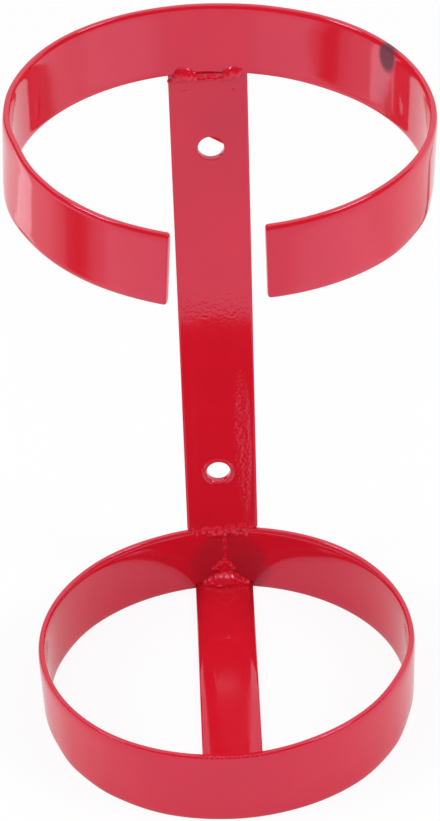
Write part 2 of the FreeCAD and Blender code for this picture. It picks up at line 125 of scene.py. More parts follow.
PLATE_DROPS = (
    (-12.4, 0.0, 0.0, 1.3, 0.9, 1.5), (-10.2, 0.0, -0.9, 2.2, 0.6, 2.2),
    (-7.2, 0.0, 0.2, 2.2, 0.7, 2.4), (-5.2, 0.0, -1.8, 2.2, 0.5, 1.7), (-2.8, 0.0, 0.0, 2.6, 0.9, 3.0),
    (-0.2, 0.0, -1.0, 2.0, 0.6, 2.5), (2.9, 0.0, 0.8, 2.4, 1.0, 2.8), (4.6, 0.0, -1.2, 2.2, 0.7, 2.2),
    (7.6, 0.0, 1.2, 2.3, 1.0, 2.3), (8.8, 0.0, -1.1, 2.3, 0.9, 2.5), (11.4, 0.0, 0.4, 1.5, 0.8, 2.3),
)
SEAM_DROPS = (
    (0.0, 0.65, 9.0, 1.5, 0.8, 3.4), (0.1, 0.65, 5.0, 1.4, 0.8, 3.4), (-0.1, 0.65, 1.0, 1.4, 0.8, 3.4),
    (0.1, 0.65, -2.4, 1.5, 0.85, 3.2),
)
REAR_DROPS = (
    (-8.0, -0.7, 0.2, 1.9, 2.5, 2.0), (-6.0, -0.8, 0.5, 2.4, 2.9, 3.1),
    (-3.4, -0.9, 1.2, 2.7, 3.2, 3.8), (-0.6, -1.0, 1.4, 2.8, 3.4, 4.0), (2.2, -1.0, 1.4, 2.7, 3.4, 4.0),
    (4.6, -1.0, 0.9, 2.4, 3.3, 3.6), (6.8, -0.9, 0.2, 2.2, 3.0, 2.7), (8.8, -0.8, -0.1, 1.7, 2.5, 1.8),
    (4.4, -2.9, 3.2, 1.1, 1.0, 0.9), (6.2, -3.0, 2.0, 1.0, 0.9, 0.9), (7.7, -2.7, 1.1, 1.0, 0.9, 0.8),
    (-5.2, -3.2, 1.2, 1.0, 0.8, 0.8), (-2.2, -4.0, 0.6, 2.0, 0.9, 0.7), (-3.9, 0.3, 7.4, 1.9, 1.1, 1.5),
    (-1.9, 0.3, 9.2, 1.9, 1.2, 1.7), (0.1, 0.3, 10.6, 1.5, 1.2, 1.8), (1.9, 0.3, 9.0, 1.5, 1.1, 1.9),
    (3.3, 0.3, 7.0, 1.4, 1.0, 1.7), (-0.4, 0.4, 7.2, 3.6, 0.9, 2.6),
)
FRONT_DROPS = (
    (-10.2, 0.6, 0.3, 2.0, 2.2, 2.2), (-6.0, 0.6, 0.3, 3.0, 2.6, 2.8), (-2.0, 0.5, 0.3, 3.0, 2.8, 3.0),
    (2.0, 0.5, 0.3, 3.0, 2.6, 2.8), (6.0, 0.6, 0.3, 3.0, 2.7, 2.9), (9.2, 0.6, 0.3, 2.0, 2.2, 2.2),
)
# How often a melted bead is smoothed, and the width and height of one wave of its ripple
SOFTEN_ROUNDS = 6
RIPPLE_WIDTH = 1.5 * MM
RIPPLE_HEIGHT = 0.1 * MM

# Spatter on the ring's front rim. Each drop: side, out from the inner edge, radius, in millimetres
SPATTER = (
    (-13.2, 2.4, 0.35), (-11.9, 2.6, 0.5), (-11.0, 1.6, 0.4), (-9.9, 2.6, 0.6), (-9.0, 1.9, 0.45),
    (-7.9, 2.7, 0.55), (-6.8, 1.4, 0.4), (-5.6, 2.5, 0.5), (-4.1, 2.7, 0.4), (-2.7, 2.2, 0.45),
    (-0.9, 2.7, 0.4), (0.6, 2.4, 0.45), (2.4, 2.7, 0.4), (4.1, 2.1, 0.45), (5.8, 2.7, 0.4),
    (7.7, 2.5, 0.42), (9.6, 2.7, 0.38), (11.2, 2.2, 0.4),
)
SPATTER_SINK = 0.2 * MM

# The paint's slow change in shade: its size, its share of the red and of the roughness
CLOUD_SIZE = 14 * MM
CLOUD_SHADE = 0.04
CLOUD_ROUGHNESS = 0.02
# The wider swell under the orange peel, as shares of the peel's size and depth
SWELL_SIZE = 7
SWELL_DEPTH = 2.5
# Where a spot begins to fade, as a share of its reach, and the size of the rags at its edge
SPOT_CORE = 0.55
RAG_SIZE = 2 * MM

# Sheets that only reflections see, as in a photo studio. Each: name, two opposite corners and
# its brightness along +Y, from the first corner, all in millimetres
SHEETS = (
    ("left_sheet", (-250, -235, -48), (-250, 125, 75), (
        (-235, 0.95), (-200, 0.75), (-176, 0.48), (-162, 0.2), (-146, 0.1), (-134, 0.12),
        (-118, 0.2), (-108, 0.5), (-60, 0.75), (0, 0.75), (6, 1.7), (84, 1.6), (92, 1.0), (125, 1.0),
    )),
    ("left_floor_sheet", (-440, -250, -137), (-285, 225, -137), (
        (-250, 1.0), (-160, 0.75), (-90, 0.61), (-10, 0.55), (75, 0.79), (110, 0.7), (130, 0.35),
        (172, 0.3), (184, 1.1), (225, 1.0),
    )),
    ("right_sheet", (200, -60, -95), (200, 160, -4), (
        (-60, 1.05), (0, 0.85), (22, 0.65), (42, 0.3), (64, 0.25), (100, 0.25), (128, 0.35),
        (138, 0.95), (160, 1.0),
    )),
)
# A ramp's colours end at 1, so sheets hold half their brightness and shine twice as strong
SHEET_STRENGTH = 2.0
# Widths over which a sheet fades in and out: along +Y, across, and at the curtain's edges
FADE_ALONG = 0.03
FADE_ACROSS = 0.02
CURTAIN_FADE = 0.12
# Where the two soft lamps stand, in metres, how large they are and where they point
LAMPS = (
    ("left_lamp", (-0.94, -0.25, 0.71)),
    ("right_lamp", (0.86, -0.42, 0.78)),
)
LAMP_SIZE = (0.4, 0.36)
LAMP_AIM = Vector((0, -0.07, 0))
# Pools of light painted on the floor as glowing discs, seen in reflections alone: name, centre, reach and
# brightness
LIGHT_POOLS = (
    ("right_pool", (370, -350), 260, 1.33),
    ("left_pool", (-350, -380), 220, 1.22),
)
POOL_LIFT = 0.5 * MM
FLOOR_SIZE = 4.0
SENSOR_WIDTH = 36
CLIP_RANGE = (0.01, 50)


# Settings a user can change

def length_setting(name, description, default):
    """A length, given in millimetres."""
    return FloatProperty(name=name, description=description, default=default * MM, unit="LENGTH")


def angle_setting(name, description, default):
    """An angle, given in degrees."""
    return FloatProperty(
        name=name, description=description, default=math.radians(default), unit="ROTATION"
    )


def share_setting(name, description, default):
    """A share from 0 to 1."""
    return FloatProperty(
        name=name, description=description, default=default, min=0, max=1, subtype="FACTOR"
    )


def colour_setting(name, description, default):
    """A colour as red, green and blue."""
    return FloatVectorProperty(
        name=name, description=description, default=default, min=0, max=1, subtype="COLOR", size=3
    )


class BracketSizes(bpy.types.PropertyGroup):
    """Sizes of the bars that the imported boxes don't give."""

    collar_offset: length_setting(
        "Collar Offset", "Back of the collar to the side of the plate's centre line", -1.4
    )
    back_left_radius: length_setting(
        "Back Left Radius", "Outer radius of the collar's back left quarter", 75
    )
    back_right_radius: length_setting(
        "Back Right Radius", "Outer radius of the collar's back right quarter", 85
    )
    left_arm_radius: length_setting("Left Arm Radius", "Outer radius of the sprung left arm", 92)
    right_arm_radius: length_setting("Right Arm Radius", "Outer radius of the right arm", 77)
    left_arm_start: angle_setting(
        "Left Arm Start", "Turn from the back at which the left arm begins", 82
    )
    right_arm_start: angle_setting(
        "Right Arm Start", "Turn from the back at which the right arm begins", 87
    )
    left_arm_end: angle_setting("Left Arm End", "Turn from the back at which the left arm ends", 159.5)
    right_arm_end: angle_setting(
        "Right Arm End", "Turn from the back at which the right arm ends", 171.6
    )
    left_end_slant: angle_setting(
        "Left End Slant", "Angle by which the left arm's end is cut out of square", 3.6
    )
    corner_round: length_setting("Corner Rounding", "Rounding of the cut corners of the bar", 1.3)
    end_round: length_setting(
        "End Rounding", "Rounding of the wide faces where the bar is cut off", 0.6
    )
    plate_taper: length_setting(
        "Plate Taper", "How far the plate's right edge runs out at the top and in at the foot", 0.8
    )
    upper_hole_radius: length_setting("Upper Hole Radius", "Radius of the upper screw hole", 5.15)
    lower_hole_radius: length_setting("Lower Hole Radius", "Radius of the lower screw hole", 4.85)
    mouth_round: length_setting("Mouth Rounding", "Rounding at the mouth of a screw hole", 0.45)
    lip_round: length_setting(
        "Lip Rounding", "Rounding at the mouth of the lower screw hole, inside its raised rim", 0.95
    )
    lip_height: length_setting(
        "Lip Height", "Height of the raised rim that drilling left round the lower hole", 0.4
    )
    lip_width: length_setting("Lip Width", "Width of that rim", 2.0)
    burr_reach: length_setting(
        "Burr Reach", "How far the sliver left in the upper hole reaches into it", 1.0
    )
    burr_lean: FloatProperty(
        name="Burr Lean",
        description="Slope of that sliver towards the front",
        default=0.5,
    )
    bead_slump: FloatProperty(
        name="Bead Slump",
        description="How far a weld bead has sagged forwards, as a share of its height",
        default=0.22,
    )
    bead_grain: length_setting("Bead Grain", "Size of the smallest lump that a weld bead shows", 0.2)


class BracketFinish(bpy.types.PropertyGroup):
    """Colours and surface of the paint."""

    paint: colour_setting("Paint", "Red of the gloss paint", (0.645, 0.009, 0.023))
    gloss_tint: colour_setting("Gloss Tint", "Tint of what the paint reflects", (0.68, 0.66, 0.98))
    gloss_index: FloatProperty(
        name="Gloss Index",
        description="Refractive index of the paint, which sets how much it reflects",
        default=1.68,
        min=1,
    )
    # Dull red over the scorched weld, also used as painted shade in the corner between the ring and the strap
    burnt_and_shaded: colour_setting(
        "Burnt Paint", "Red of the paint that lies dull over scorched metal", (0.35, 0.012, 0.022)
    )
    grime: colour_setting("Grime", "Dark brown of the dirt marks", (0.105, 0.018, 0.027))
    gloss_roughness: share_setting("Gloss Roughness", "Roughness of clean paint", 0.06)
    peel_size: length_setting("Peel Size", "Width of one dimple of the orange peel in the paint", 1.25)
    peel_depth: FloatProperty(
        name="Peel Depth",
        description="Depth of the orange peel",
        default=0.008 * MM,
        unit="LENGTH",
        precision=6,
    )


class BracketStudio(bpy.types.PropertyGroup):
    """Floor, light and camera."""

    floor: colour_setting("Floor", "Colour of the floor", (0.92, 0.92, 0.92))
    floor_glow: share_setting(
        "Floor Glow", "Share of plain white where the floor is seen as a background", 0.9
    )
    mirrored_glow: share_setting(
        "Mirrored Glow", "Share of plain white where the floor is seen in a reflection", 0.4
    )
    world_light: FloatProperty(
        name="World Light",
        description="Strength of the even light from all round",
        default=0.75,
        min=0,
    )
    lamp_power: FloatProperty(
        name="Lamp Power",
        description="Power of each of the two soft lamps",
        default=4.2,
        min=0,
        unit="POWER",
    )
    curtain_light: FloatProperty(
        name="Curtain Light",
        description="Brightness of the dark curtain round the front of the studio",
        default=0.06,
        min=0,
    )
    lens: FloatProperty(
        name="Lens",
        description="Focal length on a 36 mm sensor, in millimetres",
        default=188.2,
        min=1,
    )
    camera_place: FloatVectorProperty(
        name="Camera Place",
        description="Where the camera stands",
        default=(-9.904 * MM, -1432.8 * MM, 961.89 * MM),
        subtype="TRANSLATION",
        size=3,
    )
    camera_pitch: FloatProperty(
        name="Camera Pitch",
        description="Angle by which the camera looks down",
        default=0.6146,
        unit="ROTATION",
    )
    camera_heading: FloatProperty(
        name="Camera Heading",
        description="Angle by which the camera is turned to its right",
        default=0.0072,
        unit="ROTATION",
    )
    camera_roll: FloatProperty(
        name="Camera Roll",
        description="Angle by which the picture is turned",
        default=-0.0372,
        unit="ROTATION",
    )


# Shader building

class Wire:
    """A shader socket that takes part in Python arithmetic by adding Math nodes."""

    def __init__(self, shader, socket):
        self.shader = shader
        self.socket = socket

    def math(self, operation, *others):
        values = dict(enumerate((self, *others)))
        return self.shader.node("ShaderNodeMath", values, operation=operation)

    def flipped(self, operation, other):
        return self.shader.node("ShaderNodeMath", {0: other, 1: self}, operation=operation)

    def __add__(self, other):
        return self.math("ADD", other)

    def __radd__(self, other):
        return self.math("ADD", other)

    def __sub__(self, other):
        return self.math("SUBTRACT", other)

    def __rsub__(self, other):
        return self.flipped("SUBTRACT", other)

    def __mul__(self, other):
        return self.math("MULTIPLY", other)

    def __rmul__(self, other):
        return self.math("MULTIPLY", other)

    def part(self, name):
        """Another output of the same node."""
        return Wire(self.shader, self.socket.node.outputs[name])


class Shader:
    """A material's or a world's node tree, filled by method calls."""

    def __init__(self, owner):
        owner.use_nodes = True
        self.tree = owner.node_tree
        self.tree.nodes.clear()

    def node(self, kind, values=None, **settings):
        """Add a node, make its settings, then fill or link its sockets."""
        made = self.tree.nodes.new(kind)
        for name, setting in settings.items():
            if name == "stops":
                self.set_stops(made.color_ramp.elements, setting)
            else:
                setattr(made, name, setting)
        for name, value in (values or {}).items():
            if isinstance(value, Wire):
                self.tree.links.new(value.socket, made.inputs[name])
            else:
                made.inputs[name].default_value = value
        return Wire(self, made.outputs[0]) if made.outputs else made

    @staticmethod
    def set_stops(elements, stops):
        """Give a colour ramp its positions and colours."""
        while len(elements) < len(stops):
            elements.new(1.0)
        for element, (position, colour) in zip(elements, stops):
            element.position = position
            element.color = colour

    def place(self):
        """Place on the piece, in metres."""
        return self.node("ShaderNodeTexCoord").part("Object")

    def mix_colour(self, factor, first, second):
        """Blend two colours."""
        mixed = self.node(
            "ShaderNodeMix", {"Factor": factor, 6: first, 7: second}, data_type="RGBA"
        )
        return Wire(self, mixed.socket.node.outputs[2])

    def noise(self, place, size, detail=2.0):
        """Fine random relief, one lump of about the given size."""
        values = {"Vector": place, "Scale": 1 / size, "Detail": detail}
        return self.node("ShaderNodeTexNoise", values)

    def step(self, value, start, end):
        """0 up to the start, then a smooth rise to 1 at the end."""
        return self.node(
            "ShaderNodeMapRange",
            {"Value": value, "From Min": start, "From Max": end},
            interpolation_type="SMOOTHSTEP",
        )

    def spot(self, place, centre, reach, ragged=0.0):
        """Mask that is 1 about a centre and falls to 0 at the reach, in millimetres."""
        middle = Vector(centre) * MM
        moved = self.node("ShaderNodeVectorMath", {0: place, 1: middle}, operation="SUBTRACT")
        scaled = self.node(
            "ShaderNodeVectorMath", {0: moved, 1: Vector(reach) * MM}, operation="DIVIDE"
        )
        length = self.node("ShaderNodeVectorMath", {0: scaled}, operation="LENGTH")
        distance = length.part("Value")
        if ragged:
            distance = distance + (self.noise(place, RAG_SIZE) - 0.5) * ragged
        return 1.0 - self.step(distance, SPOT_CORE, 1.0)

    def output(self, surface, kind="ShaderNodeOutputMaterial"):
        """Show the surface."""
        self.node(kind, {"Surface": surface})


def rgba(colour):
    """A property's colour with full alpha."""
    return (*colour, 1.0)


def grey(level):
    """A neutral colour of the given level."""
    return (level, level, level, 1.0)


def paint_material(name, marks=(), ripples=(), bows=(), index_share=1.0):
    """Gloss red paint with orange peel.

    A mark is a dirt or scorch spot: colour, roughness, strength, centre, reach and raggedness.
    A ripple is a spot where the peel is coarser: strength, centre and reach.
    A bow is a slight, wide swell of the bar itself: height, centre and reach.
    The index share weakens the reflection.
    """
    finish = bpy.context.scene.bracket_finish
    material = bpy.data.materials.new(name)
    shader = Shader(material)
    place = shader.place()
    cloud = shader.noise(place, CLOUD_SIZE, detail=1.0)
    dark, light = (
        rgba([share * level for share in finish.paint])
        for level in (1 - CLOUD_SHADE, 1 + CLOUD_SHADE)
    )
    shade = shader.mix_colour(cloud, dark, light)
    rough = finish.gloss_roughness + CLOUD_ROUGHNESS * cloud
    for colour, roughness, strength, centre, reach, ragged in marks:
        mask = shader.spot(place, centre, reach, ragged) * strength
        shade = shader.mix_colour(mask, shade, rgba(colour))
        rough = rough + (roughness - rough) * mask
    depth = 1.0
    for strength, centre, reach in ripples:
        depth = depth + shader.spot(place, centre, reach) * strength
    peel = shader.noise(place, finish.peel_size, detail=1.0)
    swell = shader.noise(place, finish.peel_size * SWELL_SIZE, detail=1.0)
    height = peel * depth + swell * SWELL_DEPTH
    for swelling, centre, reach in bows:
        height = height + shader.spot(place, centre, reach) * (swelling / finish.peel_depth)
    relief = shader.node(
        "ShaderNodeBump", {"Height": height, "Distance": finish.peel_depth, "Strength": 1.0}
    )
    surface = shader.node(
        "ShaderNodeBsdfPrincipled",
        {
            "Base Color": shade,
            "Roughness": rough,
            "Normal": relief,
            "IOR": 1.0 + (finish.gloss_index - 1.0) * index_share,
            "Specular Tint": rgba(finish.gloss_tint),
        },
    )
    shader.output(surface)
    return material


# Mesh building

def add_object(name, data):
    """Put an object with the given data into the scene."""
    added = bpy.data.objects.new(name, data)
    bpy.context.scene.collection.objects.link(added)
    return added


def to_mesh(bm, name):
    """Turn a bmesh into a mesh and let the bmesh go."""
    mesh = bpy.data.meshes.new(name)
    bm.to_mesh(mesh)
    bm.free()
    return mesh


def crowned_corner(flip_side, flip_face, width, crown):
    """One corner of a bar's section, from its face round to its narrow side, in metres."""
    points = []
    for inset, drop in crown:
        side = width - inset * MM if flip_side else inset * MM
        face = BAR_THICKNESS - drop * MM if flip_face else drop * MM
        points.append((side, face))
    return points


def section_points(width, crown):
    """Closed outline of a bar's section, as distances across its width and its thickness."""
    return (
        crowned_corner(False, False, width, crown)
        + crowned_corner(False, True, width, crown)[::-1]
        + crowned_corner(True, True, width, crown)
        + crowned_corner(True, False, width, crown)[::-1]
    )


def start_section(bm, width, to_place, crown=CROWN):
    """Lay a bar's section out as a closed loop. to_place turns its two distances into a place."""
    outline = section_points(width, crown)
    verts = [bm.verts.new(to_place(across, through)) for across, through in outline]
    return verts, [bm.edges.new(pair) for pair in zip(verts, verts[1:] + verts[:1])]


def only(kind, geom):
    """The vertices, edges or faces in an operator's result."""
    return [item for item in geom if isinstance(item, kind)]


def roll(bm, geom, centre, turn, merge=False):
    """Roll the open end of a bar about an upright axis and give its new end."""
    return bmesh.ops.spin(
        bm,
        geom=geom,
        cent=(centre[0], centre[1], 0),
        axis=UP,
        angle=turn,
        steps=max(2, round(abs(turn) / STEP_TURN)),
        use_merge=merge,
    )["geom_last"]


def next_loop(bm, edges, along):
    """Draw an open end on by a short way and give its new vertices and edges."""
    drawn = bmesh.ops.extrude_edge_only(bm, edges=edges)["geom"]
    verts = only(bmesh.types.BMVert, drawn)
    bmesh.ops.translate(bm, vec=along, verts=verts)
    return verts, [
        edge for edge in only(bmesh.types.BMEdge, drawn) if all(vert in verts for vert in edge.verts)
    ]


def round_off(bm, edges, along, across, width, corner, end):
    """Close an open end of a bar with rounded corners and rounded faces."""
    through = across.cross(along).normalized()
    turn = Matrix((along, through, across)).to_4x4()
    half_width = width / 2
    half_depth = BAR_THICKNESS / 2
    wide_before, deep_before = half_width, half_depth
    steps = (1.0, 0.85, 0.7, 0.55, 0.42, 0.3, 0.2, 0.12, 0.06, 0.02, 0.0)
    for near, far in zip(steps, steps[1:]):
        verts, edges = next_loop(bm, edges, along * corner * (near - far))
        middle = sum((vert.co for vert in verts), Vector()) / len(verts)
        left = corner * far
        wide = half_width - corner + math.sqrt(corner ** 2 - (corner - left) ** 2)
        deep = half_depth
        if left < end:
            deep += math.sqrt(end ** 2 - (end - left) ** 2) - end
        bmesh.ops.scale(
            bm,
            vec=(1, deep / deep_before, wide / wide_before),
            space=turn @ Matrix.Translation(-middle),
            verts=verts,
        )
        wide_before, deep_before = wide, deep
    bmesh.ops.edgeloop_fill(bm, edges=edges)


def blend_table(table, at):
    """Smoothly read a table of angle and value pairs."""
    for (start, first), (end, second) in zip(table, table[1:]):
        if start <= at <= end:
            share = (at - start) / (end - start)
            return first + (second - first) * share * share * (3 - 2 * share)
    raise ValueError(f"the table doesn't reach {at}")


def lean(bm, low, high, foot_table, top_table):
    """Lean a rolled bar in and out round its length, as bending by hand leaves it."""
    for vert in bm.verts:
        away = Vector((vert.co.x - RING_AXIS.x, vert.co.y - RING_AXIS.y, 0))
        angle = math.degrees(math.atan2(away.y, away.x)) % 360
        share = (vert.co.z - low) / (high - low)
        foot = blend_table(foot_table, angle)
        top = blend_table(top_table, angle)
        vert.co += away.normalized() * (foot + (top - foot) * share) * MM


def close_mesh(bm):
    """Merge doubles and point all faces outwards."""
    bmesh.ops.remove_doubles(bm, verts=bm.verts, dist=MERGE)
    bmesh.ops.recalc_face_normals(bm, faces=bm.faces)


def finish_piece(bm, name, material, node):
    """Turn a bmesh into a smooth, painted piece that stands for its node."""
    mesh = to_mesh(bm, name)
    mesh.shade_smooth()
    mesh.materials.append(material)
    piece = add_object(name, mesh)
    piece.modifiers.new("even_normals", "WEIGHTED_NORMAL")
    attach(piece, BODY)
    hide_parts(node)


class CollarOperator(bpy.types.Operator):
    """Roll the open collar from four tangent bends."""

    bl_idname = "bracket.collar"
    bl_label = "Upper Collar"

    def execute(self, context):
        sizes = context.scene.bracket_sizes
        finish = context.scene.bracket_finish
        bm = bmesh.new()
        sides = (
            (1, sizes.back_left_radius, sizes.left_arm_radius,
             sizes.left_arm_start, sizes.left_arm_end, sizes.left_end_slant),
            (-1, sizes.back_right_radius, sizes.right_arm_radius,
             sizes.right_arm_start, sizes.right_arm_end, 0.0),
        )
        for side in sides:
            half = self.roll_side(sizes, *side)
            bm.from_mesh(half)
            bpy.data.meshes.remove(half)
        close_mesh(bm)
        lean(bm, COLLAR_LOW.z, COLLAR_HIGH.z, COLLAR_FOOT_LEAN, COLLAR_TOP_LEAN)
        stains = (
            (finish.grime, 0.5, 0.92, (67.3, -40.3, 138.6), (6.4, 6.4, 8.4), 0.1),
            (finish.grime, 0.3, 0.12, (66.0, -38.5, 126.0), (5.0, 5.0, 12.0), 0.5),
            (finish.grime, 0.3, 0.55, (64.9, -36.7, 113.7), (0.9, 0.9, 0.9), 0.3),
        )
        ripples = ((2.0, (-56.0, -20.0, 128.0), (16.0, 16.0, 18.0)),)
        material = paint_material("collar_paint", stains, ripples)
        finish_piece(bm, "collar_bar", material, "upper_collar")
        return {"FINISHED"}

    @staticmethod
    def roll_side(sizes, hand, back_radius, arm_radius, arm_start, arm_end, slant):
        """Roll one side: the back quarter, then the arm and its end. Hand is 1 to the left."""
        bm = bmesh.new()
        width = COLLAR_HIGH.z - COLLAR_LOW.z
        offset = sizes.collar_offset
        back_centre = Vector((offset, -back_radius, 0))
        towards = Vector((-hand * math.sin(arm_start), math.cos(arm_start), 0))
        arm_centre = back_centre + (back_radius - arm_radius) * towards
        verts, edges = start_section(
            bm, width, lambda across, through: (offset, -through, COLLAR_LOW.z + across)
        )
        joint = roll(bm, verts + edges, back_centre, hand * arm_start)
        roll(bm, joint, arm_centre, hand * (arm_end - arm_start))
        out = Vector((-hand * math.sin(arm_end), math.cos(arm_end), 0))
        along = Vector((-hand * math.cos(arm_end), -math.sin(arm_end), 0))
        edge_end = arm_centre + out * arm_radius + UP * COLLAR_HIGH.z
        cut_normal = along * math.cos(slant) - UP * math.sin(slant)
        bmesh.ops.bisect_plane(
            bm,
            geom=bm.verts[:] + bm.edges[:] + bm.faces[:],
            plane_co=edge_end - along * sizes.corner_round,
            plane_no=cut_normal,
            clear_outer=True,
        )
        ends = [
            edge for edge in bm.edges
            if edge.is_boundary
            and all(abs((vert.co - edge_end).dot(cut_normal)) < 2 * sizes.corner_round for vert in edge.verts)
        ]
        round_off(bm, ends, along, UP, width, sizes.corner_round, sizes.end_round)
        return to_mesh(bm, "half_collar")


class RingOperator(bpy.types.Operator):
    """Roll the closed lower ring and leave weld spatter on its rim."""

    bl_idname = "bracket.ring"
    bl_label = "Lower Ring"

    def execute(self, context):
        finish = context.scene.bracket_finish
        bm = bmesh.new()
        back = RING_HIGH.y
        verts, edges = start_section(
            bm,
            RING_HIGH.z - RING_LOW.z,
            lambda across, through: (RING_AXIS.x, back - through, RING_LOW.z + across),
        )
        roll(bm, verts + edges, RING_AXIS, 2 * math.pi, merge=True)
        close_mesh(bm)
        lean(bm, RING_LOW.z, RING_HIGH.z, RING_FOOT_LEAN, RING_TOP_LEAN)
        # Darker red at the back of the ring about the rear weld: partly dull paint over the weld, partly
        # painted shade where the ring's back wall meets the strap; the last mark is a small grime spot
        scorch_grime_and_shade = (
            (finish.burnt_and_shaded, 0.35, 0.6, (2.0, -3.4, -126.0), (21.0, 8.0, 19.0), 0.3),
            (finish.burnt_and_shaded, 0.35, 0.3, (8.0, -3.8, -130.0), (13.0, 8.0, 12.0), 0.3),
            (finish.grime, 0.3, 0.4, (-25.1, -7.0, -119.2), (2.6, 1.2, 0.5), 0.4),
        )
        self.add_spatter(bm)
        material = paint_material("ring_paint", scorch_grime_and_shade)
        finish_piece(bm, "ring_bar", material, "lower_ring")
        return {"FINISHED"}

    @staticmethod
    def add_spatter(bm):
        """Weld spatter under the paint, along the rim at the front."""
        inner = RING_RADIUS - BAR_THICKNESS + blend_table(RING_TOP_LEAN, 270) * MM
        for side, out, radius in SPATTER:
            x = side * MM
            y = RING_AXIS.y - math.sqrt(inner ** 2 - (x - RING_AXIS.x) ** 2) - out * MM
            place = Vector((x, y, RING_HIGH.z - SPATTER_SINK))
            bmesh.ops.create_icosphere(
                bm, subdivisions=3, radius=radius * MM, matrix=Matrix.Translation(place)
            )


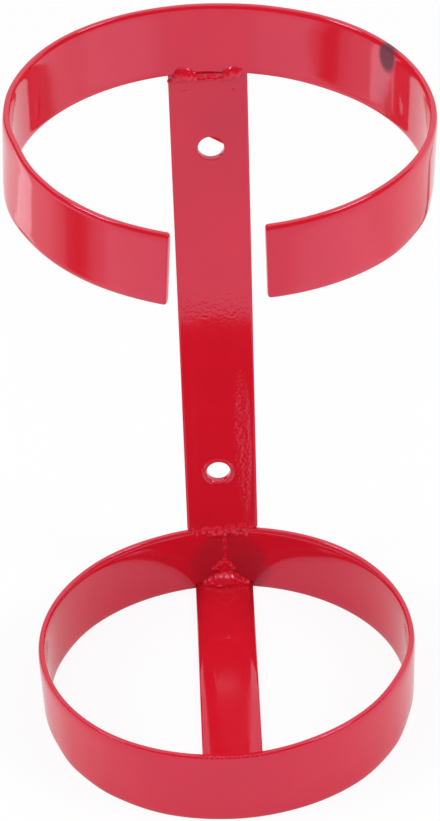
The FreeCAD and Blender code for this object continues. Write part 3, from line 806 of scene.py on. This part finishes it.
class PlateOperator(bpy.types.Operator):
    """Draw the back plate, then cut its two screw holes, one burred and one with a raised rim."""

    bl_idname = "bracket.plate"
    bl_label = "Back Plate"

    upper_centre = Vector((0.68, 0, 78.17)) * MM
    lower_centre = Vector((-1.15, 0, -78.31)) * MM
    # The hole's rear edge: how far its rounding reaches, and the step in its middle
    rear_round = 0.4 * MM
    rear_step = 0.12 * MM
    # The sliver: its side of the hole, its depth in the bar, its thickness, how far it reaches
    # into the hole's wall and the rounding of its free edge
    burr_side = math.radians(58)
    burr_depth = 0.55 * MM
    burr_thickness = 0.9 * MM
    burr_seat = 0.2 * MM
    burr_round = 0.3 * MM

    def execute(self, context):
        sizes = context.scene.bracket_sizes
        bm = bmesh.new()
        self.make_burr(bm, sizes)
        self.make_bar(bm, sizes)
        self.make_hole(bm, self.upper_centre, sizes.upper_hole_radius, sizes.mouth_round, sizes, 0.0)
        self.make_hole(
            bm, self.lower_centre, sizes.lower_hole_radius, sizes.lip_round, sizes, sizes.lip_height
        )
        for level, outwards in ((PLATE_FRONT, -1), (PLATE_HIGH.y, 1)):
            rims = [
                edge for edge in bm.edges
                if edge.is_boundary and all(abs(vert.co.y - level) < MERGE for vert in edge.verts)
            ]
            bmesh.ops.triangle_fill(bm, use_beauty=True, edges=rims, normal=(0, outwards, 0))
        close_mesh(bm)
        self.taper(bm, sizes)
        ripples = (
            (6.0, (0.0, -3.0, 8.0), (19.0, 4.0, 14.0)),
            (9.0, (8.6, -3.0, -62.0), (4.4, 3.0, 52.0)),
        )
        bows = (
            (0.38 * MM, (0.0, -3.0, 72.0), (300.0, 300.0, 94.0)),
            (-0.17 * MM, (-0.8, -3.0, -50.0), (18.0, 300.0, 300.0)),
        )
        material = paint_material("plate_paint", (), ripples, bows)
        finish_piece(bm, "plate_bar", material, "back_plate")
        return {"FINISHED"}

    @staticmethod
    def make_bar(bm, sizes):
        """The bar with its crowned edges, left open down the middle of both faces."""
        width = PLATE_HIGH.x - PLATE_LOW.x
        corner = sizes.corner_round
        head = 0.3 * MM
        height = PLATE_HIGH.z - PLATE_LOW.z - corner - head
        _, foot = start_section(
            bm,
            width,
            lambda across, through: (PLATE_LOW.x + across, PLATE_FRONT + through, PLATE_LOW.z + corner),
            PLATE_CROWN,
        )
        _, edges = next_loop(bm, foot, UP * height)
        flat_width = width - 2 * CROWN_REACH * MM
        middle = [face for face in bm.faces if face.calc_area() > height * flat_width / 2]
        round_off(bm, foot, -UP, Vector((1, 0, 0)), width, corner, sizes.end_round)
        _, edges = next_loop(bm, edges, UP * head)
        bmesh.ops.edgeloop_fill(bm, edges=edges)
        bmesh.ops.delete(bm, geom=middle, context="FACES_ONLY")

    def make_hole(self, bm, centre, radius, mouth, sizes, lip):
        """Spin the outline of one hole: rear edge, bore, rounded mouth and raised rim."""
        crest = PLATE_FRONT - lip
        rear = PLATE_HIGH.y
        outline = [
            (radius + self.rear_round, rear),
            (radius + self.rear_step, rear - self.rear_step),
            (radius, rear - self.rear_round),
        ]
        for degrees in range(0, 91, 15):
            turn = math.radians(degrees)
            outline.append(
                (radius + mouth * (1 - math.cos(turn)), crest + mouth * (1 - math.sin(turn)))
            )
        if lip:
            flank = sizes.lip_width - mouth
            outline += [
                (radius + mouth + flank * share, crest + lip * (1 - math.cos(math.pi * share)) / 2)
                for share in (0.12, 0.25, 0.38, 0.5, 0.62, 0.75, 0.88, 1.0)
            ]
        verts = [bm.verts.new((centre.x + across, depth, centre.z)) for across, depth in outline]
        edges = [bm.edges.new(pair) for pair in zip(verts, verts[1:])]
        bmesh.ops.spin(
            bm,
            geom=verts + edges,
            cent=centre,
            axis=(0, 1, 0),
            angle=2 * math.pi,
            steps=HOLE_STEPS,
            use_merge=True,
        )

    def make_burr(self, bm, sizes):
        """A sliver of metal in the upper right of the upper hole, cut from a disc."""
        radius = sizes.upper_hole_radius + self.burr_seat
        middle = self.upper_centre + Vector((0, PLATE_FRONT + self.burr_depth, 0))
        bmesh.ops.create_circle(
            bm,
            cap_ends=True,
            segments=HOLE_STEPS,
            radius=radius,
            matrix=Matrix.Translation(middle) @ Matrix.Rotation(math.pi / 2, 4, "X"),
        )
        towards = Vector((math.cos(self.burr_side), 0, math.sin(self.burr_side)))
        bmesh.ops.bisect_plane(
            bm,
            geom=bm.verts[:] + bm.edges[:] + bm.faces[:],
            plane_co=self.upper_centre + towards * (sizes.upper_hole_radius - sizes.burr_reach),
            plane_no=towards,
            clear_inner=True,
        )
        drawn = bmesh.ops.extrude_face_region(bm, geom=bm.faces[:])
        verts = only(bmesh.types.BMVert, drawn["geom"])
        bmesh.ops.translate(bm, vec=(0, self.burr_thickness, 0), verts=verts)
        for vert in bm.verts:
            inwards = radius - (vert.co - self.upper_centre).dot(towards)
            vert.co.y -= sizes.burr_lean * inwards
        bmesh.ops.recalc_face_normals(bm, faces=bm.faces)
        chord = [
            edge for edge in bm.edges
            if edge.calc_length() > 2 * MM and edge.is_manifold and edge.calc_face_angle() > 0.5
        ]
        bmesh.ops.bevel(
            bm,
            geom=chord,
            offset=self.burr_round,
            offset_type="OFFSET",
            segments=3,
            profile=0.5,
            affect="EDGES",
            material=-1,
        )

    @staticmethod
    def taper(bm, sizes):
        """Run the right edge out towards the top and in towards the foot."""
        half = (PLATE_HIGH.x - PLATE_LOW.x) / 2
        start = half - CROWN_REACH * MM
        for vert in bm.verts:
            if vert.co.x > start + MERGE:
                share = (vert.co.x - start) / (half - start)
                level = (vert.co.z - PLATE_LOW.z) / (PLATE_HIGH.z - PLATE_LOW.z)
                vert.co.x += sizes.plate_taper * share * (2 * level - 1)


class StrapOperator(bpy.types.Operator):
    """Draw the strap that the extinguisher stands on between the ring's inner walls."""

    bl_idname = "bracket.strap"
    bl_label = "Bottom Strap"

    def execute(self, context):
        finish = context.scene.bracket_finish
        bm = bmesh.new()
        inner = RING_RADIUS - BAR_THICKNESS

        def wall(side, hand):
            return RING_AXIS.y + hand * math.sqrt(inner ** 2 - (side - RING_AXIS.x) ** 2)

        _, rear = start_section(
            bm,
            STRAP_HIGH.x - STRAP_LOW.x,
            lambda across, through: (
                STRAP_LOW.x + across, wall(STRAP_LOW.x + across, 1), STRAP_LOW.z + through
            ),
            STRAP_CROWN,
        )
        verts, front = next_loop(bm, rear, Vector())
        for vert in verts:
            vert.co.y = wall(vert.co.x, -1)
        for loop in (rear, front):
            bmesh.ops.edgeloop_fill(bm, edges=loop)
        close_mesh(bm)
        rub = ((finish.paint, 0.22, 0.8, (1.0, -88.0, -134.9), (10.0, 42.0, 6.0), 0.5),)
        bows = ((0.14 * MM, (-2.6, -76.0, -134.9), (16.0, 300.0, 300.0)),)
        material = paint_material("strap_paint", rub, (), bows)
        finish_piece(bm, "strap_bar", material, "bottom_strap")
        return {"FINISHED"}


class WeldsOperator(bpy.types.Operator):
    """Lay the five weld beads as rows of melted drops."""

    bl_idname = "bracket.welds"
    bl_label = "Welds"

    def execute(self, context):
        sizes = context.scene.bracket_sizes
        material = paint_material("weld_paint", index_share=0.85)
        rear_corner = Vector((0, -BAR_THICKNESS, STRAP_HIGH.z))
        front_corner = Vector((0, RING_LOW.y + BAR_THICKNESS, STRAP_HIGH.z))
        seam = Vector((0.3 * MM, -BAR_THICKNESS, RING_AXIS.z))
        beads = (
            ("collar_bead", "collar_weld", (0, PLATE_FRONT, COLLAR_LOW.z), COLLAR_DROPS),
            ("plate_bead", "plate_weld", (0, PLATE_FRONT, PLATE_LOW.z), PLATE_DROPS),
            ("seam_bead", "ring_seam_weld", seam, SEAM_DROPS),
            ("rear_bead", "rear_weld", rear_corner, REAR_DROPS),
            ("front_bead", "front_weld", front_corner, FRONT_DROPS),
        )
        for name, node, joint, drops in beads:
            slump = 0.0 if drops is SEAM_DROPS else sizes.bead_slump
            self.lay_bead(name, node, Vector(joint), material, drops, slump)
        return {"FINISHED"}

    @staticmethod
    def lay_bead(name, node, joint, material, drops, slump):
        """Melt a row of drops together and ripple the result."""
        sizes = bpy.context.scene.bracket_sizes
        bm = bmesh.new()
        for x, y, z, wide, deep, high in drops:
            place = joint + Vector((x, y, z)) * MM
            size = Matrix.Diagonal((wide * MM, deep * MM, high * MM, 1))
            lean_over = Matrix(((1, 0, 0), (0, 1, slump), (0, 0, 1))).to_4x4()
            bmesh.ops.create_icosphere(
                bm, subdivisions=4, radius=1, matrix=Matrix.Translation(place) @ lean_over @ size
            )
        melt = add_object("melt", to_mesh(bm, name))
        remesh = melt.modifiers.new("melt", "REMESH")
        remesh.mode = "VOXEL"
        remesh.voxel_size = sizes.bead_grain
        soften = melt.modifiers.new("soften", "SMOOTH")
        soften.iterations = SOFTEN_ROUNDS
        depsgraph = bpy.context.evaluated_depsgraph_get()
        melted = bpy.data.meshes.new_from_object(melt.evaluated_get(depsgraph))
        bpy.data.objects.remove(melt)
        bm = bmesh.new()
        bm.from_mesh(melted)
        bpy.data.meshes.remove(melted)
        bm.normal_update()
        for vert in bm.verts:
            ripple = noise.fractal(vert.co / RIPPLE_WIDTH, 1.0, 2.0, 2)
            vert.co += vert.normal * (RIPPLE_HEIGHT * ripple)
        close_mesh(bm)
        finish_piece(bm, name, material, node)


class StudioOperator(bpy.types.Operator):
    """Set up the floor, the even light, the lamps, the sheets they reflect in and the camera."""

    bl_idname = "bracket.studio"
    bl_label = "Studio"

    def execute(self, context):
        studio = context.scene.bracket_studio
        self.make_floor(studio)
        self.make_world(studio)
        for name, place in LAMPS:
            self.make_lamp(studio, name, Vector(place))
        for name, low, high, levels in SHEETS:
            self.make_sheet(name, Vector(low) * MM, Vector(high) * MM, levels)
        for name, centre, reach, level in LIGHT_POOLS:
            self.make_light_pool(name, Vector((*centre, 0)) * MM, reach * MM, level)
        self.make_curtain(studio)
        self.make_camera(studio)
        return {"FINISHED"}

    @staticmethod
    def seen_ray(shader):
        """1 for rays that show the backdrop: camera, glossy and transmission rays."""
        path = shader.node("ShaderNodeLightPath")
        camera = path.part("Is Camera Ray")
        glossy = path.part("Is Glossy Ray")
        clear = path.part("Is Transmission Ray")
        return camera.math("MAXIMUM", glossy).math("MAXIMUM", clear)

    @staticmethod
    def stand_up(bm, name, material, reflected_only=False):
        """Put a piece of the studio into the scene."""
        mesh = to_mesh(bm, name)
        mesh.materials.append(material)
        stand = add_object(name, mesh)
        if reflected_only:
            for ray in ("camera", "diffuse", "transmission", "volume_scatter", "shadow"):
                setattr(stand, f"visible_{ray}", False)

    def make_floor(self, studio):
        """Pale floor at the foot of the bracket, which keeps a faint shadow."""
        bm = bmesh.new()
        bmesh.ops.create_grid(
            bm, x_segments=1, y_segments=1, size=FLOOR_SIZE,
            matrix=Matrix.Translation(UP * FLOOR_LEVEL),
        )
        material = bpy.data.materials.new("floor_paper")
        shader = Shader(material)
        paper = shader.node("ShaderNodeBsdfDiffuse", {"Color": rgba(studio.floor)})
        glow = shader.node("ShaderNodeEmission", {"Color": grey(1.0), "Strength": 1.0})
        path = shader.node("ShaderNodeLightPath")
        mirrored = path.part("Is Glossy Ray") * studio.mirrored_glow
        share = (path.part("Is Camera Ray") * studio.floor_glow).math("MAXIMUM", mirrored)
        shader.output(shader.node("ShaderNodeMixShader", {0: share, 1: paper, 2: glow}))
        self.stand_up(bm, "floor", material)

    def make_world(self, studio):
        """Even white light, and white wherever the backdrop is seen."""
        world = bpy.data.worlds.new("studio")
        bpy.context.scene.world = world
        shader = Shader(world)
        strength = studio.world_light + self.seen_ray(shader) * (1.0 - studio.world_light)
        light = shader.node("ShaderNodeBackground", {"Color": grey(1.0), "Strength": strength})
        shader.output(light, "ShaderNodeOutputWorld")

    @staticmethod
    def make_lamp(studio, name, place):
        """One soft lamp, up and to the side of the camera."""
        lamp = bpy.data.lights.new(name, "AREA")
        lamp.shape = "RECTANGLE"
        lamp.size, lamp.size_y = LAMP_SIZE
        lamp.energy = studio.lamp_power
        holder = add_object(name, lamp)
        holder.location = place
        holder.rotation_mode = "QUATERNION"
        holder.rotation_quaternion = (LAMP_AIM - place).to_track_quat("-Z", "Y")

    @staticmethod
    def sheet_material(name, level_of, cover_of):
        """Light of a given level that lets what is behind it through where it isn't covered."""
        material = bpy.data.materials.new(name)
        shader = Shader(material)
        place = shader.place()
        light = shader.node(
            "ShaderNodeEmission", {"Color": level_of(shader, place), "Strength": SHEET_STRENGTH}
        )
        clear = shader.node("ShaderNodeBsdfTransparent")
        cover = cover_of(shader, place)
        shader.output(shader.node("ShaderNodeMixShader", {0: cover, 1: clear, 2: light}))
        return material

    def make_sheet(self, name, low, high, levels):
        """A flat sheet whose brightness changes along +Y, with soft edges."""
        length = high.y - low.y
        stops = [
            ((at * MM - low.y) / length, grey(level / SHEET_STRENGTH)) for at, level in levels
        ]

        def level_of(shader, place):
            split = shader.node("ShaderNodeSeparateXYZ", {"Vector": place})
            share = (split.part("Y") - low.y) * (1 / length)
            return shader.node("ShaderNodeValToRGB", {"Fac": share}, stops=stops)

        def cover_of(shader, place):
            split = shader.node("ShaderNodeSeparateXYZ", {"Vector": place})
            cover = shader.step(split.part("Y"), low.y, low.y + FADE_ALONG)
            cover = cover * shader.step(split.part("Y"), high.y, high.y - FADE_ALONG)
            for axis, start, end in (("X", low.x, high.x), ("Z", low.z, high.z)):
                if end - start > MM:
                    soft = min(FADE_ACROSS, (end - start) / 4)
                    cover = cover * shader.step(split.part(axis), start, start + soft)
                    cover = cover * shader.step(split.part(axis), end, end - soft)
            return cover

        bm = bmesh.new()
        corners = (low, Vector((low.x, high.y, low.z)), high, Vector((high.x, low.y, high.z)))
        bm.faces.new([bm.verts.new(corner) for corner in corners])
        self.stand_up(bm, name, self.sheet_material(name, level_of, cover_of), reflected_only=True)

    def make_light_pool(self, name, centre, reach, level):
        """A round pool of painted light, glowing and seen only in reflections, that fades out over the floor.
        """
        lifted = centre + UP * (FLOOR_LEVEL + POOL_LIFT)
        bm = bmesh.new()
        bmesh.ops.create_circle(
            bm, cap_ends=True, segments=64, radius=reach, matrix=Matrix.Translation(lifted)
        )
        size = Vector((reach, reach, reach)) / MM
        material = self.sheet_material(
            name,
            lambda shader, place: grey(level / SHEET_STRENGTH),
            lambda shader, place: shader.spot(place, lifted / MM, size),
        )
        self.stand_up(bm, name, material, reflected_only=True)

    def make_curtain(self, studio):
        """The dark far side of the studio, from the back left round the front to the right."""
        low, high = -0.1, 1.3
        radius = 1.1
        start, turn = math.radians(-240), math.radians(250)
        bm = bmesh.new()
        first = Vector((math.cos(start), math.sin(start), 0)) * radius
        verts = [bm.verts.new(first + UP * height) for height in (low, high)]
        edge = bm.edges.new(verts)
        bmesh.ops.spin(
            bm, geom=verts + [edge], cent=(0, 0, 0), axis=UP, angle=turn, steps=60, use_merge=False
        )

        def cover_of(shader, place):
            height = shader.node("ShaderNodeSeparateXYZ", {"Vector": place}).part("Z")
            fade_in = shader.step(height, low, low + CURTAIN_FADE)
            return fade_in * shader.step(height, high, high - CURTAIN_FADE)

        material = self.sheet_material(
            "curtain",
            lambda shader, place: grey(studio.curtain_light / SHEET_STRENGTH),
            cover_of,
        )
        self.stand_up(bm, "curtain", material, reflected_only=True)

    @staticmethod
    def make_camera(studio):
        """Camera at the photograph's place, built from its heading, pitch and roll."""
        lens = bpy.data.cameras.new("camera")
        lens.lens = studio.lens
        lens.sensor_width = SENSOR_WIDTH
        lens.clip_start, lens.clip_end = CLIP_RANGE
        camera = add_object("camera", lens)
        upright = Matrix.Rotation(math.pi / 2, 4, "X")
        heading = Matrix.Rotation(-studio.camera_heading, 4, "Z")
        pitch = Matrix.Rotation(-studio.camera_pitch, 4, "X")
        roll_turn = Matrix.Rotation(studio.camera_roll, 4, "Z")
        camera.matrix_world = (
            Matrix.Translation(studio.camera_place) @ heading @ upright @ pitch @ roll_turn
        )
        bpy.context.scene.camera = camera


class BracketPanel(bpy.types.Panel):
    """Buttons for all pieces and the settings they use."""

    bl_idname = "VIEW3D_PT_bracket"
    bl_label = "Extinguisher Bracket"
    bl_space_type = "VIEW_3D"
    bl_region_type = "UI"
    bl_category = "Bracket"

    def draw(self, context):
        for operator in OPERATORS:
            self.layout.operator(operator.bl_idname)
        for group in GROUPS:
            settings = getattr(context.scene, group)
            for name in settings.bl_rna.properties.keys():
                if name not in ("rna_type", "name"):
                    self.layout.prop(settings, name)


OPERATORS = (
    CollarOperator,
    PlateOperator,
    RingOperator,
    StrapOperator,
    WeldsOperator,
    StudioOperator,
)
GROUPS = {
    "bracket_sizes": BracketSizes,
    "bracket_finish": BracketFinish,
    "bracket_studio": BracketStudio,
}


def register():
    """Make the settings, the operators and the panel known."""
    for group in GROUPS.values():
        bpy.utils.register_class(group)
    for operator in OPERATORS:
        bpy.utils.register_class(operator)
    bpy.utils.register_class(BracketPanel)
    for name, group in GROUPS.items():
        setattr(bpy.types.Scene, name, PointerProperty(type=group))


def unregister():
    """Take them away again."""
    for name in GROUPS:
        delattr(bpy.types.Scene, name)
    bpy.utils.unregister_class(BracketPanel)
    for operator in reversed(OPERATORS):
        bpy.utils.unregister_class(operator)
    for group in GROUPS.values():
        bpy.utils.unregister_class(group)


def main():
    """Build every piece and the studio."""
    register()
    bpy.context.scene.view_settings.view_transform = "Standard"
    bpy.ops.bracket.collar()
    bpy.ops.bracket.plate()
    bpy.ops.bracket.ring()
    bpy.ops.bracket.strap()
    bpy.ops.bracket.welds()
    bpy.ops.bracket.studio()


if __name__ == "__main__":
    main()
